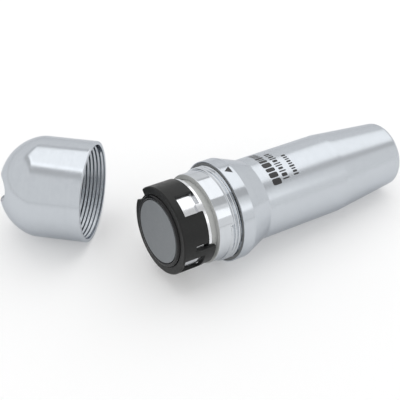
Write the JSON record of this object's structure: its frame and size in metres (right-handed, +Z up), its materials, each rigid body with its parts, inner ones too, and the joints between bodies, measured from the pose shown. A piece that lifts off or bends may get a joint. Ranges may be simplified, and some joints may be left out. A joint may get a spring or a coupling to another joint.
{
  "type": "pocket stamp",
  "caption": "Round pre-inked pocket stamp with a turned metal case; its domed screw cap lies open beside it.",
  "frame": {"origin": "centre of the two halves' common footprint, on the table that they lie on", "axes": "+X along the stamp from the printing face to the tail, level; +Z up from the table; the cap lies on the +Y side"},
  "size_m": [0.1164, 0.069, 0.0312],
  "materials": {
    "satin_aluminium": "turned, satin anodised",
    "polished_neck": "turned and polished",
    "bright_carrier": "bright nickel",
    "black_moulding": "fine satin moulding",
    "black_gloss_rim": "glossy moulding",
    "die_foam": "matt micro-porous foam",
    "ink_felt": "wet felt",
    "gasket_fibre": "matt rubberised gasket",
    "turned_brass": "turned",
    "plain_steel": "plain",
    "spring_steel": "drawn wire",
    "inner_plastic": "moulded",
    "seal_foam": "closed-cell foam"
  },
  "bodies": {
    "case": {"barrel": "satin_aluminium", "neck_sleeve": "polished_neck", "collar_gasket": "gasket_fibre", "guide_disc": "turned_brass"},
    "carrier": {"carrier_tube": "bright_carrier", "die_frame": "black_gloss_rim", "printing_die": "die_foam", "ink_pad": "ink_felt", "ink_cassette": "inner_plastic", "reserve_felt": "ink_felt", "shoulder_screw": "plain_steel", "retaining_clip": "spring_steel", "thrust_washer": "plain_steel", "return_spring": "spring_steel"},
    "clip_ring": {"clip_ring": "black_moulding"},
    "cap": {"cap_shell": "satin_aluminium", "cap_liner": "inner_plastic", "cap_seal": "seal_foam"}
  },
  "joints": [
    {"name": "die_press", "type": "slide", "parent": "case", "child": "carrier", "axis": [0.997, 0, -0.0775], "range_m": [0, 0.001], "stiffness_N_per_m": 2000, "springref_m": -0.003, "deforming": ["return_spring"]},
    {"name": "clip_twist", "type": "hinge", "parent": "carrier", "child": "clip_ring", "pos_m": [-0.0275, -0.019, 0.01729], "axis": [0.997, 0, -0.0775], "range_deg": [0, 18]},
    {"name": "cap_draw", "type": "slide", "parent": "case", "child": "cap", "axis": [-0.7206, 0.6934, 0], "range_m": [0, 0.03]}
  ]
}
